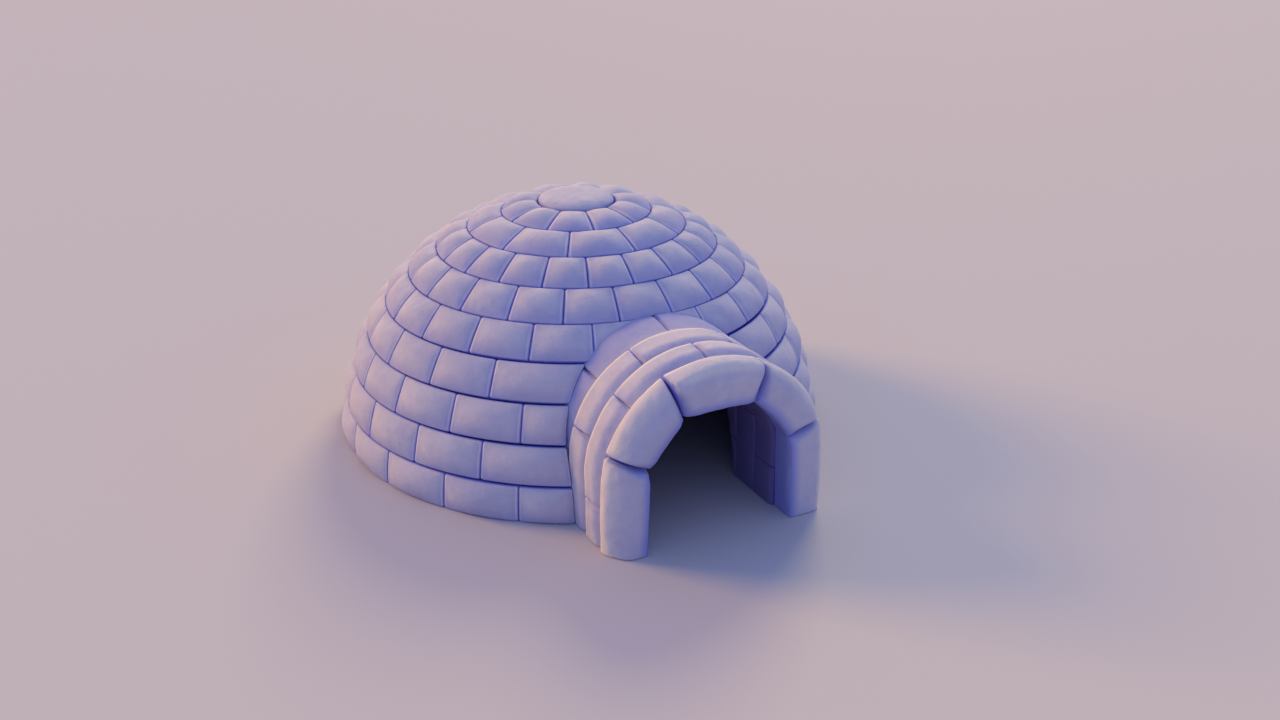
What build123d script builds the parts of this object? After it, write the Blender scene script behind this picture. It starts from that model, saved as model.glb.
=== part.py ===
"""Snow-block igloo: a dome of nine block courses closed by a king block, with an arched entrance tunnel.

The frame is in millimetres, +Z up and the tunnel's mouth towards -Y. The origin is on the ground, at the
middle of the footprint. Directions round the dome are azimuths in degrees from the tunnel's axis, positive
towards +X, and heights on the dome are elevations in degrees seen from the centre of its sphere.
"""

import os
from math import asin, cos, degrees, pi, radians, sin, sqrt, tan

from build123d import *

# Dome
dome_radius = 2000.0  # outer face of the blocks, from the centre of the sphere
wall = 265.0  # thickness of the snow blocks
centre_depth = 110.0  # the sphere's centre lies this far below the ground

# Courses of the dome
course_count = 9
first_bed = 11.2  # elevation of the bed on top of the first course
course_rise = 8.7  # elevation taken by each course above it
long_courses = 7  # these courses have blocks of full length, the ones above have blocks twice as wide in angle
blocks_around = 20  # blocks in a full course, of which the one that closes it at the rear is longer
block_angle = 17.6  # length of the other blocks, as an azimuth
front_joint = -2.0  # azimuth of the joint over the tunnel in the odd courses
least_end_block = 10.5  # a block beside the tunnel is at least this long, as an azimuth

# Block faces
joint = 0.5  # open joint between neighbouring blocks
bevel_width = 42.0  # band of worn edge round a block's outer face
bevel_depth = 14.0  # how far the worn edge falls back
end_bevel_depth = 13.0  # the same at a block's ends

# King block
king_rise = 10.0  # the middle of the king block stands this far proud of the dome
king_flat = 130.0  # radius of the level middle of its top
king_fall = 62.0  # its worn edge falls this far from there
king_bands = 3  # bands of its worn edge

# Entrance tunnel
tunnel_reach = 390.0  # the front of the tunnel stands this far out from the dome
opening_half_width = 555.0
spring_height = 488.0  # the arch springs this far above the ground
front_depth = 210.0  # lengths of the arches along the tunnel, from its front
second_depth = 240.0
third_depth = 270.0
inner_arch_wall = 190.0  # the fourth arch, in the dome's wall, is thinner and so lower than the others
shoulder_angle = 19.0  # joint on top of the posts of the first and third arch
crown_angle = 64.5  # joint beside the crown block of those arches
haunch_angle = 43.0  # joint between the post and the roof of the second and fourth arch
post_joint_height = 313.0  # bed joint in the posts of the second and fourth arch
front_bow = 16.0  # the blocks of the front arch are nearly straight over the opening, and rise only this much
face_bevel = 98.0  # worn outer edge of the front arch
arch_bevel = 16.0  # worn edges of the other arches

axis_y = tunnel_reach / 2
inner_radius = dome_radius - wall
tunnel_front = dome_radius + tunnel_reach
tunnel_outer = opening_half_width + wall
inner_arch_outer = opening_half_width + inner_arch_wall
third_front = tunnel_front - front_depth - second_depth
inner_front = third_front - third_depth
room_reach = inner_radius / 4  # the tunnel's forms start this far from the dome's axis, inside the room
dome_axis = Axis((0, axis_y, 0), (0, 0, 1))


def tunnel_plane(front):
    """Upright plane across the tunnel, at a distance from the dome's axis, facing out of its mouth."""
    return Plane(origin=(0, axis_y - front, 0), x_dir=(1, 0, 0), z_dir=(0, -1, 0))


def bed(course):
    """Elevation of the bed on top of a course, counted from the ground up."""
    return first_bed + course_rise * (course - 1)


def dome_point(radius, elevation):
    """Distance from the dome's axis and height above the ground, at a radius and elevation of the sphere."""
    return radius * cos(radians(elevation)), radius * sin(radians(elevation)) - centre_depth


def ground_point(radius):
    """Where the sphere of this radius meets the ground."""
    return sqrt(radius**2 - centre_depth**2), 0.0


def course_outline(course):
    """Corners of a course's cross-section: its beds point at the sphere's centre, the first lies on the ground."""
    bevel_turn = degrees(bevel_width / dome_radius)
    top = bed(course)
    corners = [
        dome_point(dome_radius, top - bevel_turn),
        dome_point(dome_radius - bevel_depth, top),
        dome_point(inner_radius, top),
    ]
    if course == 1:
        return corners + [ground_point(inner_radius), ground_point(dome_radius)]
    low = bed(course - 1) + degrees(joint / inner_radius)
    return corners + [
        dome_point(inner_radius, low),
        dome_point(dome_radius - bevel_depth, low),
        dome_point(dome_radius, low + bevel_turn),
    ]


def facet_azimuth(index):
    """Azimuth of an upright edge of the dome's facets: two facets make a block, and one closes the round."""
    if index > blocks_around:
        return facet_azimuth(index - 2 * blocks_around - 1) + 360
    return front_joint + index * block_angle / 2


def tunnel_half_width(height):
    """Half of the tunnel's outer width at a height above the ground, or 0 above its crown."""
    rise = max(height - spring_height, 0)
    return sqrt(max(tunnel_outer**2 - rise**2, 0))


def block_ends(course):
    """Facet edges where a course's blocks end, half a block round from the course below."""
    if course > long_courses:
        ends = list(range(2 * (course - long_courses) - 1 - blocks_around, blocks_around, 4))
    else:
        ends = list(range((course - 1) % 2 - blocks_around, blocks_around, 2))
    low_height = dome_point(dome_radius, bed(course - 1))[1] if course > 1 else 0
    if tunnel_half_width(low_height) > 0:
        reach, high_height = dome_point(dome_radius, bed(course))
        clear = degrees(asin(tunnel_half_width(high_height) / reach)) + least_end_block
        ends = [index for index in ends if abs(facet_azimuth(index)) > clear]
    return ends + [ends[0] + 2 * blocks_around + 1]


def azimuth_plane(azimuth):
    """Upright plane through the dome's axis at an azimuth: its x points outwards, its normal to lower azimuths."""
    turn = radians(azimuth)
    return Plane(
        origin=(0, axis_y, 0),
        x_dir=(sin(turn), -cos(turn), 0),
        z_dir=(-cos(turn), -sin(turn), 0),
    )


def worn_end_plane(course, azimuth, toward):
    """Plane that wears back a block's outer edge at its end; toward is 1 where the block runs to higher azimuths."""
    cross_section = azimuth_plane(azimuth)
    outline = course_outline(course)
    low, high = outline[-1], outline[0]
    along = cross_section.x_dir * (high[0] - low[0]) + Vector(0, 0, high[1] - low[1])
    into_block = cross_section.z_dir * -toward
    outward = along.cross(into_block).normalized() * -toward
    edge = cross_section.origin + cross_section.x_dir * low[0] + Vector(0, 0, low[1])
    slope = into_block * -end_bevel_depth + outward * bevel_width
    return Plane(origin=edge - outward * end_bevel_depth, z_dir=slope)


def make_facet(course, low, high):
    """A straight length of a course between two azimuths."""
    half_turn = radians((high - low) / 2)
    with BuildPart() as facet:
        with BuildSketch(azimuth_plane((low + high) / 2)):
            with BuildLine():
                Polyline([(x * cos(half_turn), z) for x, z in course_outline(course)], close=True)
            make_face()
        extrude(amount=dome_radius * sin(half_turn) + wall, both=True)
        split(bisect_by=azimuth_plane(low), keep=Keep.BOTTOM)
        split(bisect_by=azimuth_plane(high), keep=Keep.TOP)
    return facet.part


def make_block(course, first, last):
    """One snow block between two facet edges, with the edges of its outer face worn back."""
    edges = [facet_azimuth(index) for index in range(first, last + 1)]
    start, end = edges[0], edges[-1]
    with BuildPart() as block:
        add([make_facet(course, low, high) for low, high in zip(edges, edges[1:])])
        split(bisect_by=azimuth_plane(start).offset(-joint / 2), keep=Keep.BOTTOM)
        split(bisect_by=azimuth_plane(end).offset(joint / 2), keep=Keep.TOP)
        split(bisect_by=worn_end_plane(course, start, 1), keep=Keep.BOTTOM)
        split(bisect_by=worn_end_plane(course, end, -1), keep=Keep.BOTTOM)
    return block.part


def course_blocks(course):
    """All blocks of a course: its usual block, turned round the dome's axis, and those of another length."""
    ends = block_ends(course)
    usual_length = ends[1] - ends[0]
    usual_block = make_block(course, ends[0], ends[1])
    blocks = []
    for first, last in zip(ends, ends[1:]):
        if last - first == usual_length:
            turn = facet_azimuth(first) - facet_azimuth(ends[0])
            blocks.append(usual_block.rotate(dome_axis, turn))
        else:
            blocks.append(make_block(course, first, last))
    return blocks


def arch_outline(radius):
    """Outline of an arch on upright posts, from the ground up."""
    Polyline((-radius, spring_height), (-radius, 0), (radius, 0), (radius, spring_height))
    CenterArc((0, spring_height), radius, 0, 180)


def bowed_outline():
    """Outline of the front arch's opening: leaning posts, and a shallow bow from joint to joint over them."""
    angles = (shoulder_angle, crown_angle, 180 - crown_angle, 180 - shoulder_angle)
    right, right_crown, left_crown, left = [
        (opening_half_width * cos(radians(angle)), spring_height + opening_half_width * sin(radians(angle)))
        for angle in angles
    ]
    Polyline(left, (-opening_half_width, 0), (opening_half_width, 0), right)
    SagittaArc(right, right_crown, -front_bow)
    SagittaArc(right_crown, left_crown, -front_bow)
    SagittaArc(left_crown, left, -front_bow)


def level_edge(height):
    """A level joint, from the tunnel's middle to beyond its side."""
    return (0, height), (2 * tunnel_outer, height)


def radial_edge(angle):
    """A joint of the arch at an angle from the spring line, from the arch's centre to beyond its back."""
    reach = 2 * tunnel_outer
    return (0, spring_height), (reach * cos(radians(angle)), spring_height + reach * sin(radians(angle)))


def on_arch_back(edge):
    """Whether an edge runs along the outer face of the tunnel."""
    middle = edge.position_at(0.5)
    from_middle = abs(middle.X)
    if middle.Z > spring_height:
        from_middle = sqrt(middle.X**2 + (middle.Z - spring_height) ** 2)
    return abs(from_middle - tunnel_outer) < joint / 2 and middle.Z > joint


def inside_plane(low_edge, high_edge, side):
    """Plane that cuts an arch block flush with the inside of the dome, at the middle of the block."""
    middle = opening_half_width + inner_arch_wall / 2
    (_, low_start), (low_x, low_z) = low_edge
    (_, high_start), (high_x, high_z) = high_edge
    run = Vector(low_x + high_x, 0, low_z + high_z - low_start - high_start).normalized() * middle
    x, z = side * run.X, run.Z + (low_start + high_start) / 2
    away = Vector(x, -sqrt(inner_radius**2 - x**2 - (z + centre_depth) ** 2), z + centre_depth)
    return Plane(origin=away + Vector(0, axis_y, -centre_depth), z_dir=away)


def make_arch_block(front, depth, low_edge, high_edge, side):
    """One block of an arch: front is the distance of its face from the dome's axis, side is -1 for the left."""
    corners = []
    for x, z in (*low_edge, *reversed(high_edge)):
        if (side * x, z) not in corners:
            corners.append((side * x, z))
    with BuildPart() as block:
        with BuildSketch(tunnel_plane(front)):
            with BuildLine():
                arch_outline(inner_arch_outer if front == inner_front else tunnel_outer)
            make_face()
            with BuildLine():
                if front == tunnel_front:
                    bowed_outline()
                else:
                    arch_outline(opening_half_width)
            make_face(mode=Mode.SUBTRACT)
            with BuildLine():
                Polyline(*corners, close=True)
            make_face(mode=Mode.INTERSECT)
        extrude(amount=-depth)
        if front == inner_front:
            split(bisect_by=inside_plane(low_edge, high_edge, side), keep=Keep.TOP)
        if front == tunnel_front:
            face_edges = block.faces().sort_by(Axis.Y)[0].edges()
            chamfer(face_edges.filter_by(on_arch_back), face_bevel)
            face_edges = block.faces().sort_by(Axis.Y)[0].edges()
            chamfer(face_edges.filter_by(lambda edge: edge.center().Z > joint), arch_bevel)
        if front > inner_front:
            chamfer(block.edges().filter_by(on_arch_back), arch_bevel)
    return block.part


def faceted_solid(sections):
    """Solid through level rings of corners, from their distance to the dome's axis and their height, upwards."""
    azimuths = [radians(facet_azimuth(index)) for index in range(-blocks_around, blocks_around + 1)]
    rings = []
    for reach, height in sections:
        rings.append([Vector(reach * sin(turn), axis_y - reach * cos(turn), height) for turn in azimuths])
    faces = [Face(Wire.make_polygon(ring)) for ring in (rings[0], rings[-1])]
    for low, high in zip(rings, rings[1:]):
        for index in range(len(azimuths)):
            corners = low[index - 1], low[index], high[index], high[index - 1]
            faces.append(Face(Wire.make_polygon(corners)))
    return Solid(Shell(faces))


os.makedirs("parts", exist_ok=True)

# The tunnel's outer form, which the dome's courses are cut round with a joint's clearance: it steps down
# behind the third arch
with BuildPart() as tunnel_form:
    for front, rear, outer in (
        (tunnel_front, inner_front, tunnel_outer),
        (inner_front, room_reach, inner_arch_outer),
    ):
        with BuildSketch(tunnel_plane(front)):
            with BuildLine():
                arch_outline(outer + joint)
            make_face()
        extrude(amount=rear - front)

# Dome courses
for course in range(1, course_count + 1):
    with BuildPart() as dome_course:
        add(course_blocks(course))
        low_height = dome_point(inner_radius, bed(course - 1))[1] if course > 1 else 0
        if low_height < spring_height + tunnel_outer:
            add(tunnel_form.part, mode=Mode.SUBTRACT)
    dome_course.part.label = f"dome_course_{course}"
    export_step(dome_course.part, f"parts/{dome_course.part.label}.step")

# King block that closes the dome, proud of it: a wedge with a pillowed top, with as many sides as the round of
# facets
king_top = dome_radius + king_rise - centre_depth
king_side = king_top - king_fall
king_rim = bed(course_count) + degrees(joint / inner_radius)
king_reach = (king_side + centre_depth) / tan(radians(king_rim))
king_sections = [dome_point(inner_radius, king_rim)]
for band in range(king_bands + 1):
    turn = pi / 2 * band / king_bands
    reach = king_flat + (king_reach - king_flat) * cos(turn)
    king_sections.append((reach, king_side + king_fall * sin(turn)))
with BuildPart() as king_block:
    add(faceted_solid(king_sections))
king_block.part.label = "king_block"
export_step(king_block.part, "parts/king_block.step")

# Tunnel arches: posts with shoulders and a crown block, by turns with feet, haunches and a split roof
joint_turn = degrees(joint / 2 / opening_half_width)
crown_share = (radial_edge(crown_angle + joint_turn), radial_edge(180 - crown_angle - joint_turn))
crowned_shares = {
    "post": (level_edge(0), radial_edge(shoulder_angle - joint_turn)),
    "shoulder": (radial_edge(shoulder_angle + joint_turn), radial_edge(crown_angle - joint_turn)),
}
split_shares = {
    "foot": (level_edge(0), level_edge(post_joint_height - joint / 2)),
    "haunch": (level_edge(post_joint_height + joint / 2), radial_edge(haunch_angle - joint_turn)),
    "roof": (radial_edge(haunch_angle + joint_turn), radial_edge(90 - joint_turn)),
}
arches = (
    ("front_arch", tunnel_front, front_depth, crowned_shares),
    ("second_arch", tunnel_front - front_depth, second_depth, split_shares),
    ("third_arch", third_front, third_depth, crowned_shares),
    ("inner_arch", inner_front, inner_front - room_reach, split_shares),
)
for arch, front, depth, shares in arches:
    pieces = {}
    for share, (low_edge, high_edge) in shares.items():
        for side, name in ((-1, "left"), (1, "right")):
            pieces[f"{arch}_{name}_{share}"] = (low_edge, high_edge, side)
    if shares is crowned_shares:
        pieces[f"{arch}_crown"] = (*crown_share, 1)
    for label, (low_edge, high_edge, side) in pieces.items():
        arch_block = make_arch_block(front, depth - joint, low_edge, high_edge, side)
        arch_block.label = label
        export_step(arch_block, f"parts/{label}.step")
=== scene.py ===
"""Looks of the snow-block igloo: worn, pillowed blocks for the frame's nodes, and floor, light and camera.

Lengths are metres in the frame's own axes, +Z up and the tunnel's mouth towards -Y. Directions round the
dome are azimuths in degrees from the tunnel's axis, positive towards +X. Heights on the dome are elevations
in degrees, seen from the centre of its sphere.
"""

import logging
import math
from collections.abc import Callable, Iterator
from dataclasses import dataclass, replace
from enum import Enum

import bmesh
import bpy
from mathutils import Matrix, Vector, noise


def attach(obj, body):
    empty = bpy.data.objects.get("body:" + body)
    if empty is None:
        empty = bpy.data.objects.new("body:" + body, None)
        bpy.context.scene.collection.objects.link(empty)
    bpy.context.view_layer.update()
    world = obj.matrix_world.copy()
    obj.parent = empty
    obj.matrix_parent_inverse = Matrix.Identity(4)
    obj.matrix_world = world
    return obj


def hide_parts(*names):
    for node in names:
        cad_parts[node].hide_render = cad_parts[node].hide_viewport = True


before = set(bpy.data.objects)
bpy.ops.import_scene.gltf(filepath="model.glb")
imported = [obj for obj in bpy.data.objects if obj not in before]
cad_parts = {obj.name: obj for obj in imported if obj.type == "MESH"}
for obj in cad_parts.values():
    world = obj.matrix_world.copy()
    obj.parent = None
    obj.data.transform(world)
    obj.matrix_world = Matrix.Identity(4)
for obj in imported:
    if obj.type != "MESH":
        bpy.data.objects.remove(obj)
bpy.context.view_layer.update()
log = logging.getLogger("igloo")

Place = Callable[[float, float, float], Vector]
Pair = tuple[float, float]
Band = Pair
Triple = tuple[float, float, float]
Colour = tuple[float, float, float, float]

TINY = 1e-5


def ramp(value: float, low: float, high: float) -> float:
    """A smooth rise from 0 at low to 1 at high; it falls where low is the larger."""
    share = min(max((value - low) / (high - low), 0.0), 1.0)
    return share * share * (3 - 2 * share)


def between(low: float, high: float, share: float) -> float:
    """The number a share of the way from low to high."""
    return low + (high - low) * share


def hump(share: float) -> float:
    """A broad swelling, 0 at both ends of a side and 1 at its middle."""
    return 1 - (2 * share - 1) ** 2


def level_bed(along: float) -> float:
    """The gap under a block whose bed is closed all along."""
    return 0.0


def add_object(name: str, data: bpy.types.ID) -> bpy.types.Object:
    """Puts a new object in the scene.

    Args:
        name: the object's name.
        data: its mesh, light or camera.

    Returns:
        The new object.
    """
    made = bpy.data.objects.new(name, data)
    bpy.context.scene.collection.objects.link(made)
    return made


def add_mesh(name: str, mesh: bmesh.types.BMesh, smooth: bool = True) -> bpy.types.Object:
    """Puts a finished bmesh in the scene, and frees it.

    Args:
        name: the new object's name.
        mesh: its shape.
        smooth: whether it is shaded smooth.

    Returns:
        The new object, at the origin.
    """
    data = bpy.data.meshes.new(name)
    mesh.to_mesh(data)
    mesh.free()
    if smooth:
        data.shade_smooth()
    return add_object(name, data)


class Side(Enum):
    """Side of the tunnel, as seen by someone who looks into it."""

    LEFT = -1
    RIGHT = 1


class Cut(Enum):
    """How a dome block gives way to the tunnel."""

    NONE = "clear of the tunnel"
    LOW_END = "its low-azimuth end meets the tunnel's side"
    HIGH_END = "its high-azimuth end meets the tunnel's side"
    UNDERSIDE = "it passes over the tunnel's back"


class Axle(Enum):
    """The three ways through a block."""

    ALONG = 0
    ACROSS = 1
    THROUGH = 2


@dataclass(frozen=True)
class Wear:
    """How a block's edges are worn: widths back from the joints, and depths back from the faces."""

    ends: float = 0.026  # width at the ends, by the outer face
    low: float = 0.021  # width at the low bed, or at an arch block's front joint
    high: float = 0.021  # width at the high bed, or at an arch block's rear joint
    outer: float = 0.009  # depth at the outer face, in its low half
    outer_high: float = 0.009  # the same in its high half
    outer_change: Band = (0.4, 0.8)  # where the one turns into the other
    inner: float = 0.012  # depth at the inner face
    inner_share: float = 0.4  # widths at the inner face, as a share of those at the outer one
    core: float = 0.0004  # width deep in the joints
    reach: float = 0.060  # how far into a bed joint the wear goes
    end_reach: float = 0.042  # how far into an end joint it goes
    power: float = 1.3  # 2 wears an edge round, and a lower power wears it nearer to a flat bevel
    crest: float = 0.0  # width of the pale painted highlight along the rear edge of an arch's block
    front: float = 0.0  # width behind the face that looks out of the tunnel, or 0 where none does
    front_outer: float = 0.0  # depth of that edge at the outer face
    front_inner: float = 0.0  # its depth at the opening
    front_ends_outer: float = 0.0  # its width at the ends, by the outer face
    front_ends_inner: float = 0.0  # its width at the ends, by the opening
    front_fade: float = 1.7  # it is gone after this many times its width
    recess: float = 0.0  # depth of the hollow down a joint of that face
    recess_width: float = 0.115  # half of the hollow's width at the opening
    recess_narrowing: float = 0.105  # how much of that it loses on its way to the outer face
    recess_reach: float = 0.12  # how far back from the face it is felt


@dataclass(frozen=True)
class Swell:
    """How far a block's faces stand out at their middle, and how its joints gape at the outer face."""

    outer: float = 0.054
    inner: float = 0.006
    front: float = 0.0
    front_reach: float = 0.1  # how far back from the front face its swelling is felt
    wedge: float = 0.0015
    drift: float = 0.0055  # height of the weathering's drifts
    chips: float = 0.0016  # height of its chips


@dataclass(frozen=True)
class Weather:
    """Weathering of a face: soft drifts and small chips, as noise with scales in waves to the metre."""

    drift_scale: float = 3.4
    chip_scale: float = 21.0
    fade: float = 0.9
    step: float = 2.1
    octaves: int = 3

    def drift(self, place: Vector) -> float:
        """Height of the drifts at a place."""
        return noise.fractal(place * self.drift_scale, self.fade, self.step, self.octaves)

    def chips(self, place: Vector) -> float:
        """Height of the chips at a place."""
        return noise.noise(place * self.chip_scale)


@dataclass(frozen=True)
class Tinting:
    """Where the marks that the finish reads begin and are full on a block, as bands for ramp."""

    groove: Band = (0.80, 1.0)  # painted shade in a joint's crease, on how far the surface looks into the joint
    groove_exposed: Band = (0.5, 1.0)  # on how far it looks outwards, where the crease's painted shade ends
    edge: Band = (0.55, 1.0)  # on how far it looks into a joint, for the shade of a worn edge
    front_gain: float = 1.25  # joints of the front arch count this much more
    end_shade: float = 0.3  # painted shade near a block's ends
    end_shade_reach: Band = (0.08, 0.0)
    low_shade: float = 0.4  # painted shade in the low half of a face
    low_shade_reach: Band = (0.5, 0.05)
    lip: Band = (0.34, 0.0)  # shade of the front arch's face next to the opening
    inside: Band = (0.6, 0.25)  # on the way through the wall, where the painted shade of the dim inside begins
    rim: float = 0.7  # painted highlight along a block's ends
    rim_start: Band = (0.10, 0.35)
    rim_stop: Band = (0.75, 0.5)
    crest_full: float = 0.4  # the crest's painted highlight is full after this share of its width
    bevel: float = 0.65  # painted highlight on the worn outer edge of the front arch
    bevel_out: Band = (0.40, 0.78)
    bevel_front: Band = (0.0, 0.2)
    bevel_end: Band = (0.0, 0.07)


@dataclass
class Spot:
    """A point on the surface of a straight block, while the block is shaped.

    Each turn says how far the surface looks to the high side of x, y or z, from -1 to 1. The spread is the
    longer, the nearer the point lay to an edge or corner before the wear.
    """

    x: float
    y: float
    z: float
    turn_x: float
    turn_y: float
    turn_z: float
    spread: float
    looks_front: float
    outside: float = 0.0
    exposed: float = 0.0
    from_end: float = 0.0
    recess: float = 0.0

    @property
    def looks_out(self) -> float:
        """How far the surface looks out of the wall."""
        return max(self.turn_z, 0.0)

    @property
    def looks_in(self) -> float:
        """How far the surface looks into the room or the tunnel."""
        return max(-self.turn_z, 0.0)


@dataclass
class SnowBlock:
    """One snow block, shaped as a straight block and then set in its place.

    Its x runs along the course or arch from joint to joint, and its z through the wall, outwards. Its y runs
    from the low bed to the high one, or on an arch from the face that looks out of the tunnel to the rear.
    """

    length: float
    height: float
    depth: float
    place: Place
    seed: int
    wear: Wear = Wear()
    swell: Swell = Swell()
    weather: Weather = Weather()
    tinting: Tinting = Tinting()
    bed_gap: Callable[[float], float] = level_bed
    grid: float = 0.021
    painted_face_shade: float = 0.0  # painted shade over the whole outer face, or 0 for the painted shade by ends and low bed
    on_ground: bool = False

    LAYERS = ("groove", "shade", "inside", "tone", "rim")
    CROWDING = 0.62
    LEAST_CUTS = 5
    SEED_STEPS = (3.17, 1.93, 0.71)
    OUTER_PART = (0.45, 1.0)
    INNER_PART = (0.55, 0.0)
    WEDGE_PART = (0.6, 1.0)
    BED_PART = (0.62, 0.97)
    INNER_EXPOSURE = 0.6
    EDGE_CHIPS = 2.2
    EDGE_SPREAD = (1.0, 1.25)

    @property
    def sizes(self) -> Triple:
        """The block's sizes along, across and through it."""
        return self.length, self.height, self.depth

    def rough_grid(self) -> bmesh.types.BMesh:
        """A unit cube with its edges divided into a grid.

        Returns:
            The new bmesh, from 0 to 1 in every direction.
        """
        mesh = bmesh.new()
        bmesh.ops.create_cube(mesh, size=1, matrix=Matrix.Translation((0.5, 0.5, 0.5)))
        for axle, size in zip(Axle, self.sizes):
            other = [way.value for way in Axle if way is not axle]
            edges = []
            for edge in mesh.edges:
                run = edge.verts[1].co - edge.verts[0].co
                if abs(run[other[0]]) < TINY and abs(run[other[1]]) < TINY:
                    edges.append(edge)
            cuts = max(round(size / self.grid), self.LEAST_CUTS)
            bmesh.ops.subdivide_edges(mesh, edges=edges, cuts=cuts, use_grid_fill=True)
        return mesh

    def crowd(self, share: float) -> float:
        """Moves the grid's lines towards the ends of a side, where the wear is."""
        return share - self.CROWDING * math.sin(2 * math.pi * share) / (2 * math.pi)

    def radii(self, y: float, z: float) -> tuple[float, float, float, float, float]:
        """Sizes of the worn edges at a height and depth in the block.

        Args:
            y: distance from the low bed or the front face.
            z: distance from the inner face.

        Returns:
            The widths at the ends, the low bed and the high bed, and the depths at the inner and outer face.
        """
        wear = self.wear
        near_inner = ramp(z, wear.reach, 0) * wear.inner_share
        near_outer = max(ramp(self.depth - z, wear.reach, 0), near_inner)
        ends = wear.core + wear.ends * max(ramp(self.depth - z, wear.end_reach, 0), near_inner)
        low_bed = wear.core + wear.low * near_outer
        high_bed = wear.core + wear.high * near_outer
        inner = wear.inner
        outer = between(wear.outer, wear.outer_high, ramp(y / self.height, *wear.outer_change))
        if wear.front:
            near_front = ramp(y, wear.front * wear.front_fade, 0)
            front_ends = between(wear.front_ends_inner, wear.front_ends_outer, z / self.depth)
            ends = max(ends, wear.core + front_ends * near_front)
            low_bed = wear.front
            inner = between(inner, wear.front_inner, near_front)
            outer = between(outer, wear.front_outer, near_front)
        return ends, low_bed, high_bed, inner, outer

    @staticmethod
    def round_off(value: float, size: float, low: float, high: float) -> Triple:
        """Splits a coordinate into the core of the block and the share of its worn edge.

        Args:
            value: the coordinate, from 0 to size.
            size: the block's size that way.
            low: width of the worn edge at 0.
            high: width of the worn edge at size.

        Returns:
            The coordinate inside the core, the share of the worn edge beyond it, and that edge's width.
        """
        if value < low:
            return low, (value - low) / low, low
        if value > size - high:
            return size - high, (value - size + high) / high, high
        return value, 0.0, low

    def worn(self, corner: Vector) -> Spot:
        """Sets a point of the unit grid on the block, with the block's edges worn.

        Args:
            corner: the point, from 0 to 1 in every direction.

        Returns:
            The spot on the block, before its faces swell.
        """
        x, y, z = [self.crowd(share) * size for share, size in zip(corner, self.sizes)]
        ends, low_bed, high_bed, inner, outer = self.radii(y, z)
        low_end = self.wear.core if self.on_ground else ends
        core_x, turn_x, wide_x = self.round_off(x, self.length, low_end, ends)
        core_y, turn_y, wide_y = self.round_off(y, self.height, low_bed, high_bed)
        core_z, turn_z, wide_z = self.round_off(z, self.depth, inner, outer)
        power = self.wear.power
        spread = (abs(turn_x) ** power + abs(turn_y) ** power + abs(turn_z) ** power) ** (1 / power)
        if spread > 0:
            turn_x, turn_y, turn_z = turn_x / spread, turn_y / spread, turn_z / spread
        return Spot(
            x=core_x + turn_x * wide_x,
            y=core_y + turn_y * wide_y,
            z=core_z + turn_z * wide_z,
            turn_x=turn_x,
            turn_y=turn_y,
            turn_z=turn_z,
            spread=spread,
            looks_front=max(-turn_y, 0.0) if self.wear.front else 0.0,
        )

    def swell_out(self, spot: Spot, offset: Vector) -> None:
        """Swells and weathers the faces, and hollows the joints of a front face.

        Args:
            spot: the spot, which is moved.
            offset: the block's own place in the noise.
        """
        wear, swell, length, depth = self.wear, self.swell, self.length, self.depth
        spot.outside = ramp(spot.z / depth, *self.OUTER_PART)
        inside = ramp(spot.z / depth, *self.INNER_PART)
        swollen = hump(spot.x / length) * hump(spot.y / self.height)
        spot.exposed = min(spot.looks_out + spot.looks_in * self.INNER_EXPOSURE + spot.looks_front, 1.0)
        place = Vector((spot.x, spot.y, spot.z)) + offset
        drift = self.weather.drift(place) * swell.drift
        chipping = 1 + self.EDGE_CHIPS * ramp(spot.spread, *self.EDGE_SPREAD)
        moved = (drift + self.weather.chips(place) * swell.chips * chipping) * spot.exposed
        spot.z += spot.turn_z * moved + swollen * (swell.outer * spot.outside - swell.inner * inside)
        spot.from_end = length - spot.x if self.on_ground else min(spot.x, length - spot.x)
        if wear.front:
            width = wear.recess_width - wear.recess_narrowing * spot.z / depth
            spot.recess = ramp(spot.from_end, width, 0)
            spot.y += spot.turn_y * moved
            bulge = swell.front * hump(spot.x / length) * hump(spot.z / depth)
            spot.y -= bulge * ramp(spot.y, swell.front_reach, 0)
            spot.y += wear.recess * spot.recess * ramp(spot.y, wear.recess_reach, 0)

    def open_joints(self, spot: Spot) -> None:
        """Draws a spot back from the block's ends and from its low bed, towards the outer face.

        Args:
            spot: the spot, which is moved.
        """
        out = spot.z / self.depth
        middle = self.length / 2
        gape = self.swell.wedge * (1 - spot.y / self.height) * ramp(out, *self.WEDGE_PART)
        spot.x = middle + (spot.x - middle) * (1 - 2 * gape / self.length)
        gap = self.bed_gap(spot.x / self.length) * ramp(out, *self.BED_PART)
        spot.y = self.height - (self.height - spot.y) * (1 - gap / self.height)

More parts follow.
